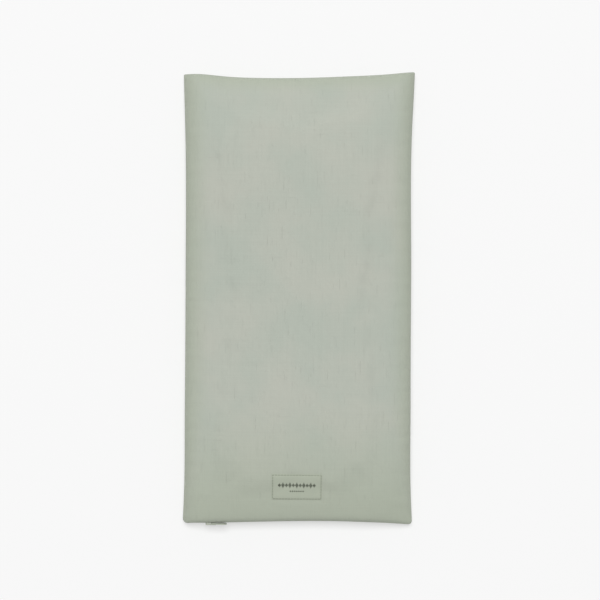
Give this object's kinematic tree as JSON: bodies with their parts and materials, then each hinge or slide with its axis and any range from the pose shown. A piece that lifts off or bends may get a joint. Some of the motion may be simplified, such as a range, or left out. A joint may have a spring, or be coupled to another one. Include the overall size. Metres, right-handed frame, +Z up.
{
  "type": "eye pillow",
  "caption": "Flat seed-filled eye pillow: zipped cotton cover with a small blank label near one short end, over an inner cotton bag of flaxseed.",
  "frame": {"origin": "on the surface the pillow lies on, under the middle of its outline", "axes": "+Y along its length, away from the zipped short end; +X across it; +Z up through the front panel, which carries the label near the -Y end"},
  "size_m": [0.115, 0.2262, 0.019],
  "materials": {
    "sage_cotton": "fine matt plain weave",
    "sage_thread": "matt spun thread",
    "label_weave": "dense woven label",
    "care_satin": "printed satin",
    "zip_tape": "herringbone polyester tape",
    "zip_nylon": "nylon monofilament",
    "slider_enamel": "satin enamel on die-cast zinc",
    "calico": "unbleached cotton",
    "calico_thread": "matt spun thread",
    "flaxseed": "smooth glossy seeds"
  },
  "bodies": {
    "pillow": {"cover_front_panel": "sage_cotton", "cover_back_panel": "sage_cotton", "cover_seam_thread": "sage_thread", "front_label": "label_weave", "front_label_stitching": "sage_thread", "care_label": "care_satin", "zip_tape_front": "zip_tape", "zip_tape_back": "zip_tape", "zip_stitching_front": "sage_thread", "zip_stitching_back": "sage_thread", "zip_coil_front": "zip_nylon", "zip_coil_back": "zip_nylon", "zip_top_stop": "zip_nylon", "zip_bottom_stop": "zip_nylon", "inner_bag_front_panel": "calico", "inner_bag_back_panel": "calico", "inner_bag_seam_thread": "calico_thread", "inner_bag_closing_thread": "calico_thread", "flaxseed_fill": "flaxseed"},
    "slider": {"zip_slider": "slider_enamel"},
    "pull": {"zip_pull": "slider_enamel"}
  },
  "joints": [
    {"name": "zip_slide", "type": "slide", "parent": "pillow", "child": "slider", "axis": [1, 0, 0], "range_m": [0, 0.0739]},
    {"name": "pull_swing", "type": "hinge", "parent": "slider", "child": "pull", "pos_m": [-0.0437, -0.11245, 0.0072], "axis": [0, 0, -1], "range_deg": [0, 175]}
  ]
}
